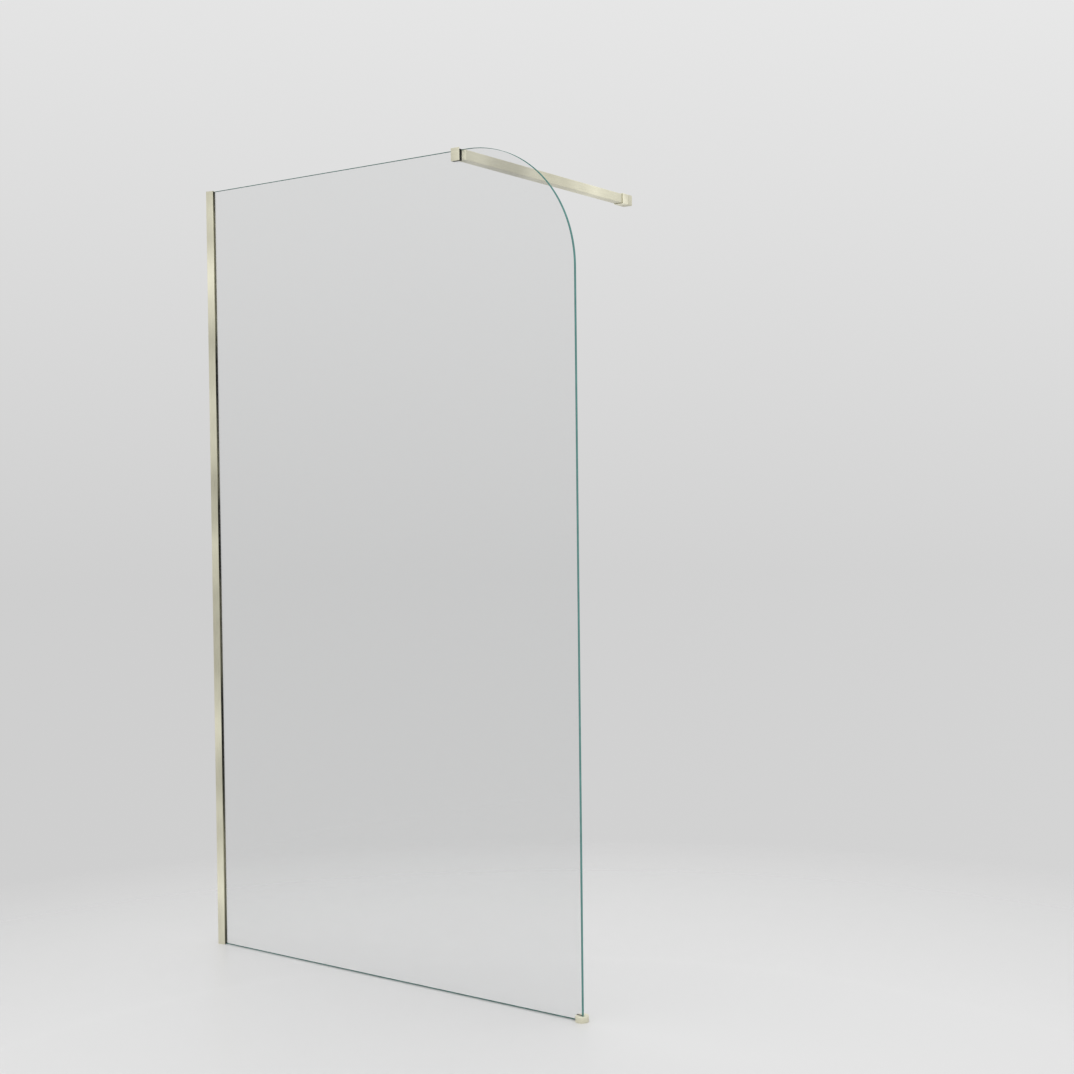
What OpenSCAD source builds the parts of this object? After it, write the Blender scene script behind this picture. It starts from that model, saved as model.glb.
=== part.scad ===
// Walk-in shower screen: one fixed glass panel in a wall channel, with a support
// bar at the top and a round foot at the free corner.
// X runs along the glass from the channel's wall face, Y from the glass's middle
// towards the wall that carries the bar, Z up from the floor. Millimetres.

/* [Screen] */
// Distance from the wall to the free edge of the glass
screen_w = 1161; // [900:1:1400]
// Height of the wall channel, which the glass fills
screen_h = 2000; // [1400:10:2200]
// Radius of the upper corner at the free edge
corner_r = 300; // [60:5:400]
// Distance from the middle of the glass to the wall that carries the bar
reach = 750; // [300:10:1200]

/* [Glass] */
// Thickness of the toughened glass
glass_t = 8; // [6:0.5:12]
// Width of the ground bevel round every edge of the glass
arris = 0.8; // [0.3:0.1:1.5]
// Gap between the floor and the glass
floor_gap = 2; // [1.6:0.1:4]
// Gap on each side between the glass and the pads it slides on
slide_fit = 0.1; // [0.05:0.05:0.3]

/* [Wall channel] */
// Depth of the channel, from the wall to its mouth
channel_depth = 20; // [18:0.5:34]
// Width of the channel on the wall; its sides slope in from there to the mouth
channel_base = 21.6; // [18:0.2:30]
// Thickness of the web that lies on the wall
channel_web = 2; // [1.4:0.1:3]
// Thickness of the channel's inner and outer side walls
channel_flange = 1.5; // [1.4:0.1:3]
// Radius of the channel's corners at its mouth
channel_round = 0.8; // [0.3:0.1:1.2]
// Free room behind the glass edge, for an out-of-plumb wall
edge_room = 8; // [7:0.5:10]
// Diameter of the wall screw holes
wall_screw_d = 5; // [3.5:0.5:6]
// Number of wall screw holes
wall_screws = 5; // [3:1:8]
// Height of the first hole above the floor, and of the last one below the top
wall_screw_end = 100; // [40:5:200]
// Thickness of the cap that closes the top of the channel
cap_t = 1.5; // [1:0.1:3]
// Depth of the cap's leg inside the channel
cap_leg_h = 12; // [6:1:25]
// Thickness of the cap's leg
cap_leg_t = 1.8; // [1:0.1:1.9]
// Gap between the glass and the cap above it
cap_gap = 0.3; // [0.2:0.1:1]

/* [Gaskets] */
// Space between each flange and the glass, which the gasket fills
gasket_t = 1; // [0.9:0.1:2]
// Thickness of the gasket's back, against the flange
gasket_back = 0.5; // [0.3:0.1:0.6]
// Length of the gasket inside the channel
gasket_leg = 11; // [9:0.5:13]
// Thickness of the bead that closes the channel's mouth
gasket_bead = 1.2; // [0.6:0.1:2]
// Number of fins that press on the glass
gasket_fins = 4; // [2:1:6]
// Distance from the mouth to the key that holds the gasket in its groove
key_in = 5; // [3:0.5:7]
// Width of the key
key_w = 1.2; // [0.8:0.1:1.6]
// Height of the key
key_h = 0.6; // [0.3:0.1:0.7]

/* [Support bar] */
// Side of the square bar
bar_side = 24; // [20:0.5:30]
// Wall thickness of the bar
bar_wall = 1.5; // [1:0.1:2.5]
// Radius of the bar's outer corners
bar_round = 1.2; // [0.3:0.1:1.5]
// Distance from the start of the glass's round corner back to the bar's middle
bar_setback = 24; // [20:1:200]

/* [Glass clamp] */
// Thickness of the clamp in front of the glass
jaw_front = 12; // [9:0.5:18]
// Thickness of the clamp behind the glass
jaw_rear = 12; // [11:0.5:18]
// Height of the clamp in front of the glass
clamp_h = 30.5; // [28:0.5:45]
// Thickness of the bridge over the top of the glass, level with the bar's top
clamp_bridge = 2; // [1.5:0.1:5]
// Width of the bridge
bridge_w = 10; // [8:0.5:16]
// Distance that the front plate rises above the bridge
plate_rise = 1.5; // [0:0.1:3]
// Bevel on the upright inner edges of the rear jaw
jaw_bevel = 4; // [1:0.5:4]
// Thickness of the clamp's front plate
clamp_plate = 2.5; // [1.5:0.1:4]
// Width of the small bevel on the clamp's edges
clamp_bevel = 0.6; // [0.2:0.1:1]
// Length of the spigot that enters the bar
spigot_len = 22; // [16:1:40]
// Side of the square pressure pad
pad_side = 15; // [12:0.5:15.5]
// Thickness of the pressure pad
pad_t = 1.5; // [1:0.1:3]
// Diameter of the screw that drives the pressure pad
pad_screw_d = 6; // [5:1:8]
// Length of the screw that drives the pressure pad
pad_screw_len = 9; // [6:0.5:12]
// Diameter of the screw that locks the bar on the spigot
lock_screw_d = 5; // [4:1:6]

/* [Wall bracket] */
// Length of the sleeve over the end of the bar
sleeve_len = 27; // [24:1:50]
// Wall thickness of the sleeve
sleeve_wall = 1.3; // [1:0.1:3]
// Wall thickness of the bush between the bar and the sleeve
bush_wall = 0.7; // [0.5:0.1:2]
// Radius of the bracket's outer corners
bracket_round = 1.5; // [0.5:0.1:1.5]
// Gap between the end of the bar and the block's boss
bar_end_gap = 2; // [0.5:0.5:5]
// Length of the block between the sleeve and the wall
block_len = 20; // [12:1:40]
// Length of the block's boss inside the sleeve
boss_len = 7; // [6:0.5:7]
// Thickness of the block's floor on the wall
block_floor = 6; // [3:0.5:10]
// Diameter of the wall screw's hole in the block
block_screw_d = 5.2; // [4:0.1:7]
// Diameter of the recess for the wall screw's head
block_recess_d = 13; // [10:0.5:16]
// Diameter of the two screws under the sleeve
sleeve_screw_d = 4; // [3:1:5]

/* [Foot] */
// Diameter of the round foot
foot_d = 31; // [28:0.5:50]
// Height of the foot
foot_h = 14; // [12:0.5:30]
// Radius of the foot's upper edge
foot_round = 0.8; // [0.3:0.1:1.5]
// Distance from the free edge of the glass in to the foot's middle
foot_inset = 3; // [0:0.5:4]
// Thickness of the liner between the foot and the glass
liner_t = 0.8; // [0.5:0.1:1]
// Diameter of the screw that grips the glass
foot_screw_d = 5; // [4:1:5]
// Height of that screw above the floor
foot_screw_z = 8; // [6:0.5:8.5]
// Depth of the screw's socket below the foot's surface
foot_screw_recess = 2.7; // [1:0.1:4]

/* [Hidden] */
$fn = 96;
// Gap on each side between two pieces that are pushed together
push_fit = 0.05;
// Gap on each side between a screw and its hole
thread_fit = 0.05;
// Overrun of a cut past the face it leaves by
cut = 1;
// Bevel on the ends of the small screws
screw_bevel = 0.4;
// Room past the tip of a screw that crosses another hole
screw_tip_room = 2;
// Step that shows as a fine line between the sleeve and the block
seam = 0.4;
// Distance from the bead's outer corner to the channel's outer face
bead_inset = 0.3;
// Pegs on the jaw block, in blind holes in the back of the front plate
peg_d = 4;
peg_len = 1.2;
peg_x = 6;
// Distance that the jaw block lies inside the clamp's outline
jaw_inset = 0.2;
// Share of a fin's pitch that the fin itself takes
fin_share = 0.8;

glass_top = screen_h - cap_gap;
glass_h = glass_top - floor_gap;
glass_start = channel_web + edge_room;
glass_w = screen_w - glass_start;
slot_half = glass_t / 2 + gasket_t;
channel_w = 2 * (slot_half + channel_flange);
channel_lean = atan((channel_base - channel_w) / 2 / channel_depth);
wall_screw_pitch = (screen_h - 2 * wall_screw_end) / (wall_screws - 1);
key_x = channel_depth - key_in;

bar_x = screen_w - corner_r - bar_setback;
bar_top = screen_h + clamp_bridge;
clamp_top = bar_top + plate_rise;
bar_z = bar_top - bar_side / 2;
bar_bore = bar_side - 2 * bar_wall;
front_y = -(glass_t / 2 + jaw_front);
plate_y = front_y + clamp_plate;
bar_start = glass_t / 2 + jaw_rear;
spigot_side = bar_bore - 2 * push_fit;
grip_y = glass_t / 2 + slide_fit;
pad_back = grip_y + pad_t;
jaw_y = glass_t / 2 + cap_gap;
lock_y = bar_start + spigot_len / 2;
lock_screw_len = (bar_side - pad_screw_d) / 2 - screw_tip_room;
peg_z = (clamp_top - clamp_h + screen_h) / 2;

sleeve_bore = bar_side + 2 * bush_wall;
sleeve_side = sleeve_bore + 2 * sleeve_wall;
mouth_y = reach - block_len - sleeve_len;
block_y = reach - block_len;
boss_y = block_y - boss_len;
bar_end = boss_y - bar_end_gap;
sleeve_screw_len = (sleeve_side - block_recess_d) / 2 - screw_tip_room;
sleeve_screw_ys = [(mouth_y + bar_end) / 2, block_y - boss_len / 2];

foot_x = screen_w - foot_inset;
foot_slot = glass_t + 2 * liner_t;
foot_base = floor_gap - liner_t;
foot_screw_len = (foot_d - foot_slot) / 2 - foot_screw_recess;

brass = [0.80, 0.78, 0.69];
rubber = [0.05, 0.05, 0.05];
nylon = [0.08, 0.08, 0.08];
steel = [0.62, 0.62, 0.60];
glass = [0.72, 0.86, 0.84, 0.35];

// Rectangle about the origin with round corners
module round_rectangle(w, h, r) {
    square([w, h - 2 * r], center = true);
    square([w - 2 * r, h], center = true);
    for (x = [-1, 1], y = [-1, 1])
        translate([x * (w / 2 - r), y * (h / 2 - r)])
            circle(r);
}

// Cross-section in X and Z about the bar's axis, drawn out from y0 to y1
module along_bar(y0, y1) {
    translate([bar_x, y1, bar_z])
        rotate([90, 0, 0])
            linear_extrude(y1 - y0)
                children();
}

// Round hole or rod along Y from y0 to y1
module rod_y(x, z, y0, y1, d) {
    translate([x, y0, z])
        rotate([-90, 0, 0])
            cylinder(h = y1 - y0, d = d);
}

// Round hole or rod that rises from z0
module rod_z(x, y, z0, length, d) {
    translate([x, y, z0])
        cylinder(h = length, d = d);
}

// Headless screw that stands on its socket end at the origin
module grub_screw(d, length) {
    r = d / 2 - thread_fit;
    difference() {
        rotate_extrude()
            polygon([
                [0, 0], [r - screw_bevel, 0], [r, screw_bevel],
                [r, length - screw_bevel], [r - screw_bevel, length], [0, length]
            ]);
        translate([0, 0, -cut])
            cylinder(h = length / 2 + cut, d = d / 2 + thread_fit, $fn = 6);
    }
}

// Glass seen on edge: a strip of the given length with a bevel at each corner
module glass_strip(length) {
    half = glass_t / 2;
    polygon([
        [arris, -half], [length - arris, -half], [length, arris - half],
        [length, half - arris], [length - arris, half], [arris, half],
        [0, half - arris], [0, arris - half]
    ]);
}

// Disc with a bevelled rim, whose quarter is the round corner of the glass
module glass_disc() {
    half = glass_t / 2;
    rotate([90, 0, 0])
        rotate_extrude($fn = 256)
            polygon([
                [0, -half], [corner_r - arris, -half], [corner_r, arris - half],
                [corner_r, half - arris], [corner_r - arris, half], [0, half]
            ]);
}

module glass_panel() {
    color(glass)
        translate([glass_start, 0, floor_gap])
            intersection() {
                linear_extrude(glass_h)
                    glass_strip(glass_w);
                translate([glass_w, 0, 0])
                    rotate([0, -90, 0])
                        linear_extrude(glass_w)
                            glass_strip(glass_h);
                union() {
                    difference() {
                        translate([0, -glass_t / 2, 0])
                            cube([glass_w, glass_t, glass_h]);
                        translate([glass_w - corner_r, -glass_t, glass_h - corner_r])
                            cube([corner_r + cut, 2 * glass_t, corner_r + cut]);
                    }
                    translate([glass_w - corner_r, 0, glass_h - corner_r])
                        glass_disc();
                }
            }
}

// Key of a gasket, or the groove for it with some room round it
module gasket_key(room) {
    root = key_w / 2 + room;
    top = key_w / 3 + room;
    polygon([
        [-root, -cut], [root, -cut], [root, 0], [top, key_h + room], [-top, key_h + room],
        [-root, 0]
    ]);
}

// Outer shape of the channel and its cap: widest on the wall, round at the mouth
module channel_outline() {
    r = channel_round;
    mouth_half = channel_w / 2 + r * tan(channel_lean) - r / cos(channel_lean);
    round_x = channel_depth - r + r * sin(channel_lean);
    round_y = mouth_half + r * cos(channel_lean);
    polygon([
        [0, -channel_base / 2], [round_x, -round_y], [channel_depth, -mouth_half],
        [channel_depth, mouth_half], [round_x, round_y], [0, channel_base / 2]
    ]);
    for (y = [-mouth_half, mouth_half])
        translate([channel_depth - r, y])
            circle(r);
}

// Hollow chamber between the inner and the outer side wall
module channel_chamber() {
    slope = tan(channel_lean);
    chamber_h = slope * (channel_depth - channel_web) - channel_flange / cos(channel_lean);
    if (chamber_h > 0)
        translate([channel_web, channel_w / 2])
            polygon([[0, 0], [chamber_h / slope, 0], [0, chamber_h]]);
}

module wall_channel() {
    color(brass)
        difference() {
            linear_extrude(screen_h)
                difference() {
                    channel_outline();
                    translate([channel_web, -slot_half])
                        square([channel_depth, 2 * slot_half]);
                    for (side = [0, 1])
                        mirror([0, side]) {
                            channel_chamber();
                            translate([key_x, slot_half])
                                gasket_key(push_fit);
                        }
                }
            for (i = [0 : wall_screws - 1])
                translate([-cut, 0, wall_screw_end + i * wall_screw_pitch])
                    rotate([0, 90, 0])
                        cylinder(h = channel_web + 2 * cut, d = wall_screw_d);
        }
}

// Cap on the channel's open top, with a leg that plugs in against the web
module channel_cap() {
    color(brass)
        union() {
            translate([0, 0, screen_h])
                linear_extrude(cap_t)
                    channel_outline();
            translate([channel_web + push_fit, push_fit - slot_half, screen_h - cap_leg_h])
                cube([cap_leg_t, 2 * (slot_half - push_fit), cap_leg_h]);
        }
}

// Bead of the gasket behind the glass, which covers the channel's mouth
module bead_section() {
    bead_y = channel_w / 2 - bead_inset;
    polygon([
        [channel_depth, grip_y], [channel_depth + gasket_bead, grip_y],
        [channel_depth + gasket_bead, bead_y - gasket_bead / 2],
        [channel_depth + gasket_bead / 2, bead_y], [channel_depth, bead_y]
    ]);
}

// Glazing gasket behind the glass: back, fins, key and bead
module gasket_section() {
    back_y = slot_half - gasket_back;
    fin_pitch = gasket_leg / gasket_fins;
    fin_w = fin_share * fin_pitch;
    translate([channel_depth - gasket_leg, back_y])
        square([gasket_leg, gasket_back]);
    for (i = [0 : gasket_fins - 1])
        translate([channel_depth - gasket_leg + i * fin_pitch, back_y])
            polygon([
                [0, gasket_back / 2], [0, 0], [fin_w, grip_y - back_y], [fin_w, gasket_back / 2]
            ]);
    translate([key_x, slot_half])
        intersection() {
            gasket_key(0);
            translate([-key_w, -gasket_back / 2])
                square([2 * key_w, gasket_back / 2 + key_h]);
        }
    polygon([
        [channel_depth - gasket_back, slot_half], [channel_depth - gasket_back, back_y],
        [channel_depth, grip_y], [channel_depth + gasket_bead, grip_y],
        [channel_depth + gasket_bead, slot_half]
    ]);
    bead_section();
}

// The bead rises past the channel to the top of the cap
module rear_gasket() {
    color(rubber)
        union() {
            linear_extrude(screen_h)
                gasket_section();
            linear_extrude(screen_h + cap_t)
                bead_section();
        }
}

module front_gasket() {
    mirror([0, 1])
        rear_gasket();
}

// Block that carries the glass's lower corner between the gaskets
module setting_block() {
    block_w = glass_t - 2 * arris;
    color(nylon)
        translate([channel_web + push_fit, -block_w / 2, 0])
            cube([channel_depth - channel_web - push_fit, block_w, floor_gap - slide_fit]);
}

// Side view of the clamp's front plate, in Y and Z
module plate_profile() {
    low = clamp_top - clamp_h;
    polygon([
        [front_y, low + clamp_bevel], [front_y + clamp_bevel, low], [plate_y, low],
        [plate_y, clamp_top], [front_y + clamp_bevel, clamp_top],
        [front_y, clamp_top - clamp_bevel]
    ]);
}

// Top view of the front plate, which bevels its upright edges
module plate_plan() {
    half = bar_side / 2;
    polygon([
        [-half, front_y + clamp_bevel], [clamp_bevel - half, front_y],
        [half - clamp_bevel, front_y], [half, front_y + clamp_bevel],
        [half, plate_y], [-half, plate_y]
    ]);
}

// Top view of the rear jaw, with the bevels beside its face on the glass
module jaw_plan() {
    half = bar_side / 2;
    polygon([
        [-half, jaw_y + jaw_bevel], [jaw_bevel - half, jaw_y], [half - jaw_bevel, jaw_y],
        [half, jaw_y + jaw_bevel], [half, bar_start], [-half, bar_start]
    ]);
}

// Draws its children in the middle plane of each peg of the jaw block
module at_pegs() {
    for (side = [-1, 1])
        translate([side * peg_x, 0, 0])
            children();
}

module clamp_body() {
    color(brass)
        difference() {
            union() {
                intersection() {
                    translate([bar_x - bar_side / 2, 0, 0])
                        rotate([90, 0, 90])
                            linear_extrude(bar_side)
                                plate_profile();
                    translate([bar_x, 0, 0])
                        linear_extrude(clamp_top + cut)
                            plate_plan();
                }
                translate([bar_x, 0, bar_top - bar_side])
                    linear_extrude(bar_side)
                        jaw_plan();
                translate([bar_x - bridge_w / 2, plate_y - clamp_plate / 2, screen_h])
                    cube([bridge_w, bar_start - plate_y, clamp_bridge]);
                along_bar(bar_start, bar_start + spigot_len)
                    square(spigot_side, center = true);
            }
            along_bar(jaw_y - cut, pad_back)
                square(pad_side + 2 * push_fit, center = true);
            rod_y(bar_x, bar_z, jaw_y, bar_start + spigot_len + cut, pad_screw_d);
            rod_z(bar_x, lock_y, bar_z - bar_side, bar_side, lock_screw_d);
            at_pegs()
                rod_y(bar_x, peg_z, plate_y - peg_len - push_fit, plate_y + cut, peg_d);
        }
}

// Dark block between the clamp's front plate and the glass
module clamp_jaw_block() {
    low = clamp_top - clamp_h + jaw_inset;
    block_w = bar_side - 2 * jaw_inset;
    block_t = -glass_t / 2 - slide_fit - plate_y;
    color(nylon)
        union() {
            translate([bar_x - block_w / 2, plate_y, low])
                cube([block_w, block_t, screen_h - low]);
            at_pegs()
                rod_y(bar_x, peg_z, plate_y - peg_len, plate_y + block_t / 2, peg_d - 2 * push_fit);
        }
}

module clamp_pressure_pad() {
    color(nylon)
        along_bar(grip_y, pad_back)
            square(pad_side, center = true);
}

module clamp_pressure_screw() {
    color(steel)
        translate([bar_x, pad_back + pad_screw_len, bar_z])
            rotate([90, 0, 0])
                grub_screw(pad_screw_d, pad_screw_len);
}

module bar_lock_screw() {
    color(steel)
        translate([bar_x, lock_y, bar_z - bar_side / 2 + push_fit])
            grub_screw(lock_screw_d, lock_screw_len);
}

module support_bar() {
    color(brass)
        difference() {
            along_bar(bar_start, bar_end)
                difference() {
                    round_rectangle(bar_side, bar_side, bar_round);
                    square(bar_bore, center = true);
                }
            rod_z(bar_x, lock_y, bar_z - bar_side, bar_side, lock_screw_d);
            rod_z(bar_x, sleeve_screw_ys[0], bar_z - bar_side, bar_side, sleeve_screw_d);
        }
}

// Bush that keeps the bar from touching the sleeve
module bracket_bush() {
    color(nylon)
        difference() {
            along_bar(mouth_y, bar_end)
                difference() {
                    square(sleeve_bore - 2 * push_fit, center = true);
                    square(bar_side + 2 * push_fit, center = true);
                }
            rod_z(bar_x, sleeve_screw_ys[0], bar_z - bar_side, bar_side, sleeve_screw_d);
        }
}

module bracket_sleeve() {
    color(brass)
        difference() {
            along_bar(mouth_y, block_y)
                difference() {
                    round_rectangle(sleeve_side, sleeve_side, bracket_round);
                    square(sleeve_bore, center = true);
                }
            for (y = sleeve_screw_ys)
                rod_z(bar_x, y, bar_z - sleeve_side, sleeve_side, sleeve_screw_d);
        }
}

// Screw up through the underside of the sleeve
module sleeve_screw(y) {
    color(steel)
        translate([bar_x, y, bar_z - sleeve_side / 2 + push_fit])
            grub_screw(sleeve_screw_d, sleeve_screw_len);
}

module bar_retaining_screw() {
    sleeve_screw(sleeve_screw_ys[0]);
}

module sleeve_retaining_screw() {
    sleeve_screw(sleeve_screw_ys[1]);
}

// Block on the wall: a cup for the wall screw's head, with a boss for the sleeve
module bracket_block() {
    color(brass)
        difference() {
            union() {
                along_bar(block_y + seam, reach)
                    round_rectangle(sleeve_side, sleeve_side, bracket_round);
                along_bar(block_y, block_y + seam)
                    round_rectangle(sleeve_side - 2 * seam, sleeve_side - 2 * seam, bracket_round);
                along_bar(boss_y, block_y)
                    square(sleeve_bore - 2 * push_fit, center = true);
            }
            rod_y(bar_x, bar_z, boss_y - cut, reach - block_floor, block_recess_d);
            rod_y(bar_x, bar_z, boss_y, reach + cut, block_screw_d);
            rod_z(
                bar_x, sleeve_screw_ys[1], bar_z - sleeve_side / 2 - cut,
                cut + sleeve_screw_len + screw_bevel, sleeve_screw_d
            );
        }
}

// Block as wide as the slot, from outside the foot to its blind end
module foot_slot_block() {
    translate([foot_x - foot_d, -foot_slot / 2, foot_base])
        cube([foot_d + foot_inset + liner_t, foot_slot, foot_h]);
}

module foot_body() {
    color(brass)
        difference() {
            translate([foot_x, 0, 0])
                rotate_extrude()
                    union() {
                        square([foot_d / 2 - foot_round, foot_h]);
                        square([foot_d / 2, foot_h - foot_round]);
                        translate([foot_d / 2 - foot_round, foot_h - foot_round])
                            circle(foot_round);
                    }
            foot_slot_block();
            rod_y(foot_x, foot_screw_z, 0, foot_d, foot_screw_d);
        }
}

// Rubber liner: the lining of the foot's slot, cut to the foot's outline
module foot_liner() {
    color(rubber)
        difference() {
            intersection() {
                translate([foot_x, 0, foot_base])
                    cylinder(h = foot_h - foot_base, d = foot_d - 2 * foot_round);
                foot_slot_block();
            }
            translate([foot_x - foot_d, -glass_t / 2, floor_gap])
                cube([foot_d + foot_inset, glass_t, foot_h]);
        }
}

module foot_screw() {
    color(steel)
        translate([foot_x, foot_slot / 2 + foot_screw_len, foot_screw_z])
            rotate([90, 0, 0])
                grub_screw(foot_screw_d, foot_screw_len);
}

glass_panel();
wall_channel();
channel_cap();
front_gasket();
rear_gasket();
setting_block();
clamp_body();
clamp_jaw_block();
clamp_pressure_pad();
clamp_pressure_screw();
bar_lock_screw();
support_bar();
bracket_bush();
bracket_sleeve();
bar_retaining_screw();
sleeve_retaining_screw();
bracket_block();
foot_body();
foot_liner();
foot_screw();
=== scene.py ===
"""Looks of the walk-in shower screen: brushed pale brass, clear glass with green edges,
black rubber and nylon, and a plain pale studio. Metres, in the frame of the CAD model."""
import math

import bmesh
import bpy
from mathutils import Matrix, Vector


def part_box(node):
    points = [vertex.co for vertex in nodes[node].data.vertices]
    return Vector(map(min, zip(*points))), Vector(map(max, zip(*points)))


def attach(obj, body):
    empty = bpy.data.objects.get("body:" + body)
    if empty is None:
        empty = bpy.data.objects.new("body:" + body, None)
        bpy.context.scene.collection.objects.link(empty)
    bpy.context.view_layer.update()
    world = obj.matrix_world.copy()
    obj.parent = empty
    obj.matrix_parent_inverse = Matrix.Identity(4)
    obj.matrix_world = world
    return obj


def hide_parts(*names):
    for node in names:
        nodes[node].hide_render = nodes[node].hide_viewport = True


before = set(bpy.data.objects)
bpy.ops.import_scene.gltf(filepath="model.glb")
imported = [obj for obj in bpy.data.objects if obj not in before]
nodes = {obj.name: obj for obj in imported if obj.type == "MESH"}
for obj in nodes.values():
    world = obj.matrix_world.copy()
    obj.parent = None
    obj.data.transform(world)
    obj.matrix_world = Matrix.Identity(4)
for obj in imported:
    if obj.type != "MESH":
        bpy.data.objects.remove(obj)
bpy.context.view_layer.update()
MM = 0.001

# Camera of the photograph
FRAME_PX = 1074
FOCAL_PX = 1576.3
SENSOR = 36.0
CAMERA_AT = Vector((3.1136, -2.9427, 1.1877))
YAW = math.radians(-35.060)
PITCH = math.radians(-1.489)
ROLL = math.radians(-0.641)
CLIP_START = 0.05
CLIP_END = 100

# Backdrop: its levels at the horizon and overhead, the heights between which it changes, and
# what it gains to the right and behind the camera
BACKDROP_LEVELS = (0.733, 1.08)
BACKDROP_HEIGHTS = (-0.05, 0.75)
BACKDROP_GAIN = (0.10, -0.05, 0)

# Floor, which fades out between two distances from its middle
FLOOR = (0.675, 0.675, 0.675)
FLOOR_AT = (1.6, -0.8, 0)
FLOOR_RADIUS = 4.0
FLOOR_SIDES = 96
FLOOR_FADE = (1.4, 2.8)
FLOOR_ROUGHNESS = 0.35
FLOOR_SPECULAR = 0.3

# Sun, and the direction that it shines from
SUN_STRENGTH = 0.5
SUN_WIDTH = math.radians(50)
SUN_FROM = (0.5, -0.75, 1.4)

# Surfaces: colours are linear, waves are counted over a metre, and where a value has two
# ends, noise takes it from one to the other as it goes through the middle of its range
NOISE_SPAN = (0.3, 0.7)
DULL_SPECULAR = 0.25

# Brushed brass, with its scratches, and the light and dark ends of its painted reflection
BRASS = (0.985, 0.955, 0.762)
# Dark end of the brass's painted reflection
BRASS_PAINTED_DARK = (0.38, 0.365, 0.278)
BRASS_ROUGHNESS = (0.25, 0.45)
SCRATCH_WAVES = 2600
SCRATCH_STRETCH = 0.012
SCRATCH_TONE = (-0.07, 0.07)
SCRATCH_DEPTH = 0.02 * MM

# Painted reflection on the brass, as clouds of lighter and darker colour: their waves, and
# the place in the noise that puts them where the photograph has them
REFLECTION_CLOUDS_UP = (3, 8540)
REFLECTION_CLOUDS_LEVEL = (3, 8379)
REFLECTION_CLOUDS_ACROSS = (4, 2639)
REFLECTION_CLOUDS_SLEEVE = (12, 9968)

# Glass, with its ground edge and the bevels beside it, which are called arrises
GLASS_TINT = (0.905, 0.91, 0.91)
GLASS_IOR = 1.5
GLASS_ROUGHNESS = (0.0, 0.012)
GLASS_WAVES = 3
EDGE_GREEN = (0.122, 0.265, 0.245)
# Darker green of the edge's level stretches: painted shade
EDGE_SHADED = (0.004, 0.122, 0.098)
EDGE_ROUGHNESS = (0.2, 0.3)
ARRIS_GREEN = (0.084, 0.205, 0.190)
# Darker green of the arris's level stretches: painted shade
ARRIS_SHADED = (0.004, 0.108, 0.088)
ARRIS_ROUGHNESS = (0.35, 0.45)
EDGE_CLOUDS = 30
EDGE_SHADES = (0.9, 1.1)
GRIND_WAVES = 5000
GRIND_DEPTH = 0.004 * MM

# Upward part of the normal on a level stretch of each, and the share of it from which the
# green is painted darker, as painted shade on the level stretches
EDGE_RISE = 1.0
ARRIS_RISE = math.sqrt(0.5)
SHADE_FROM = 0.6

# Rubber, with the lines of its extrusion and lighter patches: a painted reflection on the
# black rubber, its bloom on the liner
RUBBER = (0.012, 0.012, 0.006)
# Light end of the black rubber's patches, and their place in the noise: a painted reflection
# of the bright surroundings
RUBBER_PAINTED_SHEEN = (0.330, 0.315, 0.210)
RUBBER_SHEEN_AT = 7595
LINER = (0.085, 0.082, 0.066)
LINER_BLOOM = (0.140, 0.135, 0.110)
LINER_BLOOM_AT = 0
RUBBER_ROUGHNESS = (0.42, 0.6)
BLOOM_AND_SHEEN_WAVES = 2.5
BLOOM_AND_SHEEN_SPAN = (0.45, 0.65)
LINE_WAVES = 1800
LINE_STRETCH = (1, 1, 0.004)
LINE_DEPTH = 0.02 * MM

# Nylon, with its grain
NYLON = (0.008, 0.008, 0.004)
NYLON_GREY = (0.15, 0.145, 0.115)
NYLON_LIGHTER = 1.6
NYLON_CLOUDS = 120
NYLON_ROUGHNESS = (0.45, 0.6)
GRAIN_WAVES = 2200
GRAIN_DEPTH = 0.03 * MM

# Steel, with its turning marks
STEEL = (0.56, 0.56, 0.54)
STEEL_DARKER = 0.85
STEEL_ROUGHNESS = (0.25, 0.38)
TURNING_WAVES = 4000
TURNING_STRETCH = (1, 1, 6)

# The pane, whose corner and bevel are those of the CAD model, and its material slots
CORNER_RADIUS = 300 * MM
ARRIS = 0.8 * MM
ARC_STEPS = 96
EDGE_SLOT = 1
ARRIS_SLOT = 2

# Small rounds on the edges of CAD nodes, the angle from which an edge is sharp, and the gap
# that is welded first
ROUNDS = {
    "clamp_body": 0.3 * MM,
    "clamp_jaw_block": 0.3 * MM,
    "bracket_sleeve": 0.2 * MM,
    "bracket_block": 0.2 * MM,
    "wall_channel": 0.2 * MM,
    "channel_cap": 0.2 * MM,
    "foot_body": 0.2 * MM,
}
SHARP = math.radians(35)
WELD = 0.002 * MM


def add_object(name, data):
    """A new object in the scene."""
    item = bpy.data.objects.new(name, data)
    bpy.context.scene.collection.objects.link(item)
    return item


def add_mesh(name, mesh):
    """A new object in the scene, from a bmesh."""
    data = bpy.data.meshes.new(name)
    mesh.to_mesh(data)
    mesh.free()
    return add_object(name, data)


def new_material(name):
    """A material with its node tree, its Principled shader and its object coordinates."""
    material = bpy.data.materials.new(name)
    material.use_nodes = True
    tree = material.node_tree
    shader = tree.nodes["Principled BSDF"]
    place = tree.nodes.new("ShaderNodeTexCoord").outputs["Object"]
    return material, tree, shader, place


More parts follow.
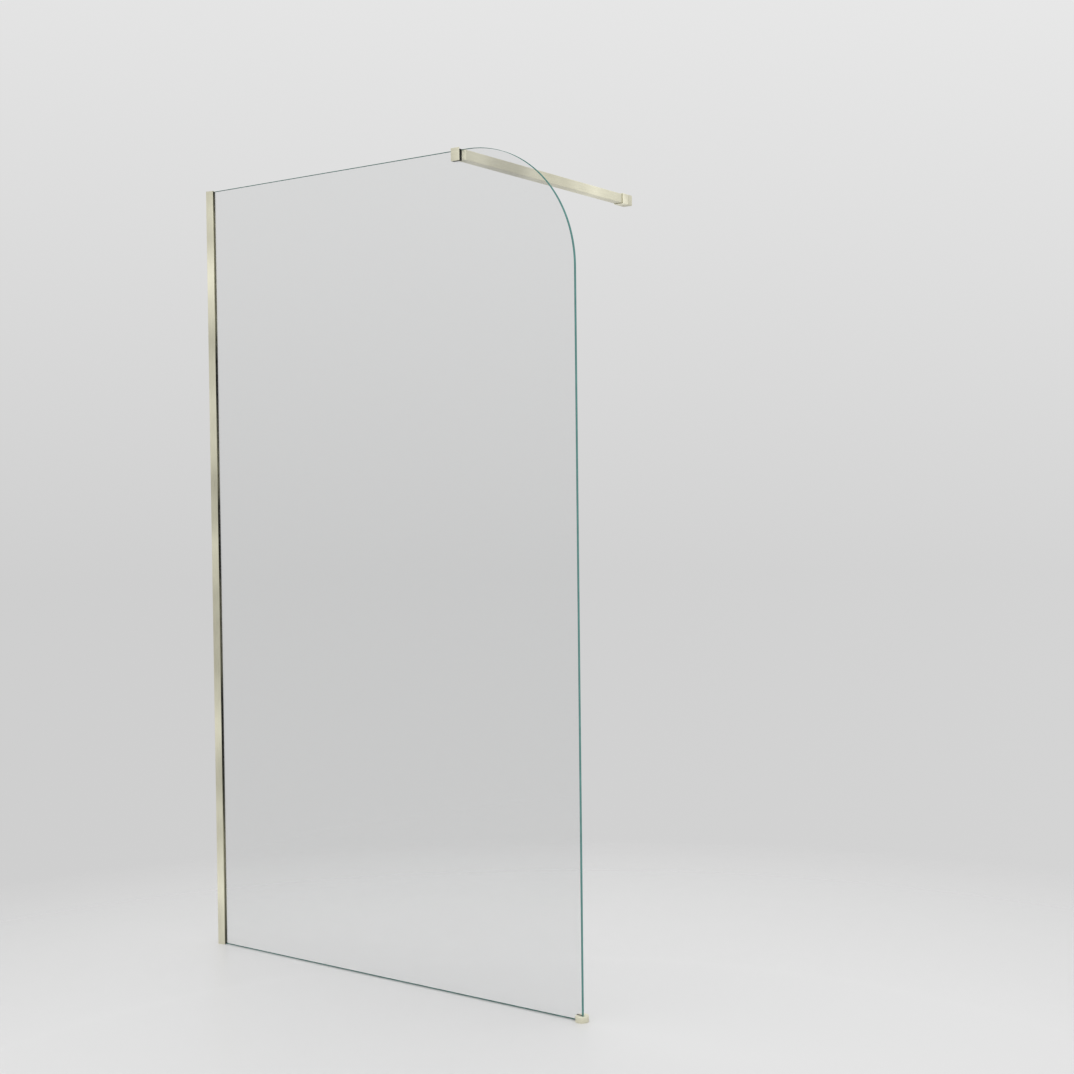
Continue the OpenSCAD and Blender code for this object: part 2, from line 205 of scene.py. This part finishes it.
def noise(tree, place, waves, stretch=(1, 1, 1), detail=2, roughness=0.5, shift=0):
    """Noise at so many waves a metre, stretched along the axes with small numbers."""
    mapping = tree.nodes.new("ShaderNodeMapping")
    mapping.inputs["Scale"].default_value = [waves * share for share in stretch]
    mapping.inputs["Location"].default_value = (shift, 0, 0)
    tree.links.new(place, mapping.inputs["Vector"])
    texture = tree.nodes.new("ShaderNodeTexNoise")
    texture.inputs["Scale"].default_value = 1.0
    texture.inputs["Detail"].default_value = detail
    texture.inputs["Roughness"].default_value = roughness
    tree.links.new(mapping.outputs["Vector"], texture.inputs["Vector"])
    return texture.outputs["Fac"]


def spread(tree, source, result, span=NOISE_SPAN):
    """Takes a value from its span to the pair that is its result."""
    node = tree.nodes.new("ShaderNodeMapRange")
    for end, value in zip(("From Min", "From Max", "To Min", "To Max"), (*span, *result)):
        node.inputs[end].default_value = value
    tree.links.new(source, node.inputs["Value"])
    return node.outputs["Result"]


def two_colours(tree, source, low, high, span=NOISE_SPAN):
    """A colour between low and high, as a value goes through its span."""
    ramp = tree.nodes.new("ShaderNodeValToRGB")
    for stop, position, colour in zip(ramp.color_ramp.elements, span, (low, high)):
        stop.position = position
        stop.color = (*colour, 1)
    tree.links.new(source, ramp.inputs["Fac"])
    return ramp.outputs["Color"]


def shade(colour, share):
    """A colour made darker or lighter."""
    return [channel * share for channel in colour]


def total(tree, one, other):
    """The sum of two values."""
    node = tree.nodes.new("ShaderNodeMath")
    node.operation = "ADD"
    tree.links.new(one, node.inputs[0])
    tree.links.new(other, node.inputs[1])
    return node.outputs["Value"]


def paint(tree, shader, colour, roughness):
    """Gives the shader its colour and its roughness."""
    tree.links.new(colour, shader.inputs["Base Color"])
    tree.links.new(roughness, shader.inputs["Roughness"])


def relief(tree, shader, source, depth):
    """Bump of the given depth."""
    bump = tree.nodes.new("ShaderNodeBump")
    bump.inputs["Distance"].default_value = depth
    tree.links.new(source, bump.inputs["Height"])
    tree.links.new(bump.outputs["Normal"], shader.inputs["Normal"])


def brushed_brass(name, along, reflection_waves, shift):
    """Pale brass brushed along one axis, with long fine scratches and soft clouds of painted
    reflection.
    """
    material, tree, shader, place = new_material(name)
    stretch = [SCRATCH_STRETCH if axis == along else 1 for axis in "XYZ"]
    scratches = noise(tree, place, SCRATCH_WAVES, stretch, detail=5, roughness=0.7)
    # Clouds of lighter and darker colour: a painted reflection of the surroundings
    cloud = noise(tree, place, reflection_waves, shift=shift)
    # Painted reflection plus the real tone of the scratches
    reflection_and_scratch_tone = total(tree, cloud, spread(tree, scratches, SCRATCH_TONE))
    colour = two_colours(tree, reflection_and_scratch_tone, BRASS_PAINTED_DARK, BRASS)
    paint(tree, shader, colour, spread(tree, scratches, BRASS_ROUGHNESS))
    shader.inputs["Metallic"].default_value = 1.0
    relief(tree, shader, scratches, SCRATCH_DEPTH)
    return material


def clear_glass():
    """The polished faces of the pane."""
    material, tree, shader, place = new_material("clear_glass")
    wave = noise(tree, place, GLASS_WAVES, detail=1)
    roughness = spread(tree, wave, GLASS_ROUGHNESS, span=(0, 1))
    tree.links.new(roughness, shader.inputs["Roughness"])
    shader.inputs["Base Color"].default_value = (*GLASS_TINT, 1)
    shader.inputs["Transmission Weight"].default_value = 1.0
    shader.inputs["IOR"].default_value = GLASS_IOR
    return material


def glass_edge(name, green, shaded, roughness, level_rise):
    """A ground edge, which shows the glass's own green, with painted shade that makes it
    darker on its level stretches, where the upward part of its normal is level_rise."""
    material, tree, shader, place = new_material(name)
    cloud = noise(tree, place, EDGE_CLOUDS, detail=3)
    upright, level = (
        two_colours(tree, cloud, *(shade(colour, share) for share in EDGE_SHADES))
        for colour in (green, shaded)
    )
    axes = tree.nodes.new("ShaderNodeSeparateXYZ")
    tree.links.new(place.node.outputs["Normal"], axes.inputs["Vector"])
    rise = tree.nodes.new("ShaderNodeMath")
    rise.operation = "ABSOLUTE"
    tree.links.new(axes.outputs["Z"], rise.inputs[0])
    # Painted shade: the level stretches take the darker green
    depth = spread(
        tree, rise.outputs["Value"], (0, 1), span=(SHADE_FROM * level_rise, level_rise)
    )
    blend = tree.nodes.new("ShaderNodeMix")
    blend.data_type = "RGBA"
    tree.links.new(depth, blend.inputs["Factor"])
    tree.links.new(upright, blend.inputs["A"])
    tree.links.new(level, blend.inputs["B"])
    grind = noise(tree, place, GRIND_WAVES)
    paint(tree, shader, blend.outputs["Result"], spread(tree, grind, roughness))
    shader.inputs["Specular IOR Level"].default_value = 0.0
    relief(tree, shader, grind, GRIND_DEPTH)
    return material


def extruded_rubber(name, dark, bloom_and_sheen, shift):
    """Extruded rubber with fine lines along its length and lighter patches, a painted
    reflection on the black rubber and a real bloom on the liner.
    """
    material, tree, shader, place = new_material(name)
    lines = noise(tree, place, LINE_WAVES, LINE_STRETCH, detail=3)
    # Lighter patches: painted reflection on the black rubber, bloom on the liner
    bloom_and_sheen_noise = noise(tree, place, BLOOM_AND_SHEEN_WAVES, shift=shift)
    colour = two_colours(tree, bloom_and_sheen_noise, dark, bloom_and_sheen, BLOOM_AND_SHEEN_SPAN)
    paint(tree, shader, colour, spread(tree, lines, RUBBER_ROUGHNESS))
    shader.inputs["Specular IOR Level"].default_value = DULL_SPECULAR
    relief(tree, shader, lines, LINE_DEPTH)
    return material


def moulded_nylon(name, dark):
    """Moulded nylon with a fine spark-eroded grain."""
    material, tree, shader, place = new_material(name)
    grain = noise(tree, place, GRAIN_WAVES, detail=3)
    cloud = noise(tree, place, NYLON_CLOUDS, detail=3)
    colour = two_colours(tree, cloud, dark, shade(dark, NYLON_LIGHTER))
    paint(tree, shader, colour, spread(tree, grain, NYLON_ROUGHNESS))
    shader.inputs["Specular IOR Level"].default_value = DULL_SPECULAR
    relief(tree, shader, grain, GRAIN_DEPTH)
    return material


def screw_steel():
    """Stainless steel with fine turning marks."""
    material, tree, shader, place = new_material("steel")
    marks = noise(tree, place, TURNING_WAVES, TURNING_STRETCH, detail=3)
    colour = two_colours(tree, marks, shade(STEEL, STEEL_DARKER), STEEL)
    paint(tree, shader, colour, spread(tree, marks, STEEL_ROUGHNESS))
    shader.inputs["Metallic"].default_value = 1.0
    return material


def pale_floor():
    """Floor paint that turns transparent far from the floor's middle."""
    material, tree, shader, place = new_material("floor")
    shader.inputs["Base Color"].default_value = (*FLOOR, 1)
    shader.inputs["Roughness"].default_value = FLOOR_ROUGHNESS
    shader.inputs["Specular IOR Level"].default_value = FLOOR_SPECULAR
    distance = tree.nodes.new("ShaderNodeVectorMath")
    distance.operation = "LENGTH"
    tree.links.new(place, distance.inputs[0])
    fade = spread(tree, distance.outputs["Value"], (0, 1), span=FLOOR_FADE)
    clear = tree.nodes.new("ShaderNodeBsdfTransparent")
    mix = tree.nodes.new("ShaderNodeMixShader")
    tree.links.new(fade, mix.inputs["Fac"])
    tree.links.new(shader.outputs["BSDF"], mix.inputs[1])
    tree.links.new(clear.outputs["BSDF"], mix.inputs[2])
    tree.links.new(mix.outputs["Shader"], tree.nodes["Material Output"].inputs["Surface"])
    return material


def add_camera():
    """Camera at the photograph's viewing angle."""
    look = Vector((
        math.sin(YAW) * math.cos(PITCH), math.cos(YAW) * math.cos(PITCH), math.sin(PITCH)
    ))
    level = Vector((math.cos(YAW), -math.sin(YAW), 0))
    upright = level.cross(look)
    right = math.cos(ROLL) * level + math.sin(ROLL) * upright
    up = math.cos(ROLL) * upright - math.sin(ROLL) * level
    turn = Matrix((right, up, -look)).transposed().to_4x4()
    camera = add_object("camera", bpy.data.cameras.new("camera"))
    camera.matrix_world = Matrix.Translation(CAMERA_AT) @ turn
    camera.data.sensor_width = SENSOR
    camera.data.lens = FOCAL_PX / FRAME_PX * SENSOR
    camera.data.clip_start = CLIP_START
    camera.data.clip_end = CLIP_END
    bpy.context.scene.camera = camera


def add_world():
    """Pale surroundings, a little brighter overhead, on the right and behind the camera."""
    world = bpy.data.worlds.new("studio")
    bpy.context.scene.world = world
    world.use_nodes = True
    tree = world.node_tree
    place = tree.nodes.new("ShaderNodeTexCoord").outputs["Generated"]
    axes = tree.nodes.new("ShaderNodeSeparateXYZ")
    tree.links.new(place, axes.inputs["Vector"])
    height = spread(tree, axes.outputs["Z"], BACKDROP_LEVELS, span=BACKDROP_HEIGHTS)
    side = tree.nodes.new("ShaderNodeVectorMath")
    side.operation = "DOT_PRODUCT"
    side.inputs[1].default_value = BACKDROP_GAIN
    tree.links.new(place, side.inputs[0])
    level = total(tree, height, side.outputs["Value"])
    tree.links.new(level, tree.nodes["Background"].inputs["Color"])


def add_floor():
    """Pale floor that fades into the backdrop far from the screen."""
    mesh = bmesh.new()
    bmesh.ops.create_circle(mesh, cap_ends=True, segments=FLOOR_SIDES, radius=FLOOR_RADIUS)
    floor = add_mesh("floor", mesh)
    floor.location = FLOOR_AT
    floor.data.materials.append(pale_floor())


def add_sun():
    """A wide soft sun, which lights the floor evenly."""
    data = bpy.data.lights.new("sun", "SUN")
    data.energy = SUN_STRENGTH
    data.angle = SUN_WIDTH
    lamp = add_object("sun", data)
    lamp.rotation_mode = "QUATERNION"
    lamp.rotation_quaternion = (-Vector(SUN_FROM)).to_track_quat("-Z", "Y")


def pane_outline(low, high, inset):
    """The pane's outline in X and Z, with its round upper corner, drawn in by inset."""
    left, right = low.x + inset, high.x - inset
    bottom, top = low.z + inset, high.z - inset
    middle_x, middle_z = high.x - CORNER_RADIUS, high.z - CORNER_RADIUS
    radius = CORNER_RADIUS - inset
    arc = []
    for step in range(ARC_STEPS + 1):
        angle = math.pi / 2 * step / ARC_STEPS
        arc.append((middle_x + radius * math.cos(angle), middle_z + radius * math.sin(angle)))
    return [(left, bottom), (right, bottom), *arc, (left, top)]


def add_pane():
    """The pane with its ground bevels, clear on its faces and green on its edges."""
    low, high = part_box("glass_panel")
    inner = pane_outline(low, high, ARRIS)
    outer = pane_outline(low, high, 0)
    mesh = bmesh.new()
    rings = []
    for outline, y in (
        (inner, low.y), (outer, low.y + ARRIS), (outer, high.y - ARRIS), (inner, high.y)
    ):
        rings.append([mesh.verts.new((x, y, z)) for x, z in outline])
    mesh.faces.new(rings[0])
    mesh.faces.new(list(reversed(rings[-1])))
    for ring, after, slot in zip(rings, rings[1:], (ARRIS_SLOT, EDGE_SLOT, ARRIS_SLOT)):
        for i in range(len(ring)):
            j = (i + 1) % len(ring)
            mesh.faces.new((ring[i], after[i], after[j], ring[j])).material_index = slot
    bmesh.ops.recalc_face_normals(mesh, faces=mesh.faces)
    pane = add_mesh("glass_pane", mesh)
    for material in (
        clear_glass(),
        glass_edge("glass_edge", EDGE_GREEN, EDGE_SHADED, EDGE_ROUGHNESS, EDGE_RISE),
        glass_edge("glass_arris", ARRIS_GREEN, ARRIS_SHADED, ARRIS_ROUGHNESS, ARRIS_RISE)
    ):
        pane.data.materials.append(material)
    pane.visible_shadow = False
    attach(pane, "panel")
    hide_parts("glass_panel")


def dress(material, *names):
    """Gives these CAD nodes one material."""
    for name in names:
        nodes[name].data.materials.clear()
        nodes[name].data.materials.append(material)


def soften(name, width):
    """Breaks the sharp edges of a CAD node by a small round."""
    weld = nodes[name].modifiers.new("weld", "WELD")
    weld.merge_threshold = WELD
    bevel = nodes[name].modifiers.new("bevel", "BEVEL")
    bevel.width = width
    bevel.segments = 2
    bevel.limit_method = "ANGLE"
    bevel.angle_limit = SHARP
    bevel.harden_normals = True


add_camera()
add_world()
add_floor()
add_sun()
add_pane()

dress(brushed_brass("brass_brushed_up", "Z", *REFLECTION_CLOUDS_UP), "wall_channel", "channel_cap")
dress(brushed_brass("brass_brushed_level", "Y", *REFLECTION_CLOUDS_LEVEL), "support_bar")
dress(brushed_brass("brass_brushed_sleeve", "Y", *REFLECTION_CLOUDS_SLEEVE), "bracket_sleeve")
dress(
    brushed_brass("brass_brushed_across", "X", *REFLECTION_CLOUDS_ACROSS),
    "clamp_body", "foot_body", "bracket_block"
)
dress(
    extruded_rubber("black_rubber", RUBBER, RUBBER_PAINTED_SHEEN, RUBBER_SHEEN_AT),
    "front_gasket", "rear_gasket"
)
dress(extruded_rubber("liner_rubber", LINER, LINER_BLOOM, LINER_BLOOM_AT), "foot_liner")
dress(
    moulded_nylon("black_nylon", NYLON),
    "setting_block", "clamp_jaw_block", "clamp_pressure_pad"
)
dress(moulded_nylon("bush_nylon", NYLON_GREY), "bracket_bush")
dress(
    screw_steel(),
    "clamp_pressure_screw", "bar_lock_screw", "bar_retaining_screw",
    "sleeve_retaining_screw", "foot_screw"
)
for name, width in ROUNDS.items():
    soften(name, width)

bpy.context.scene.view_settings.view_transform = "Standard"
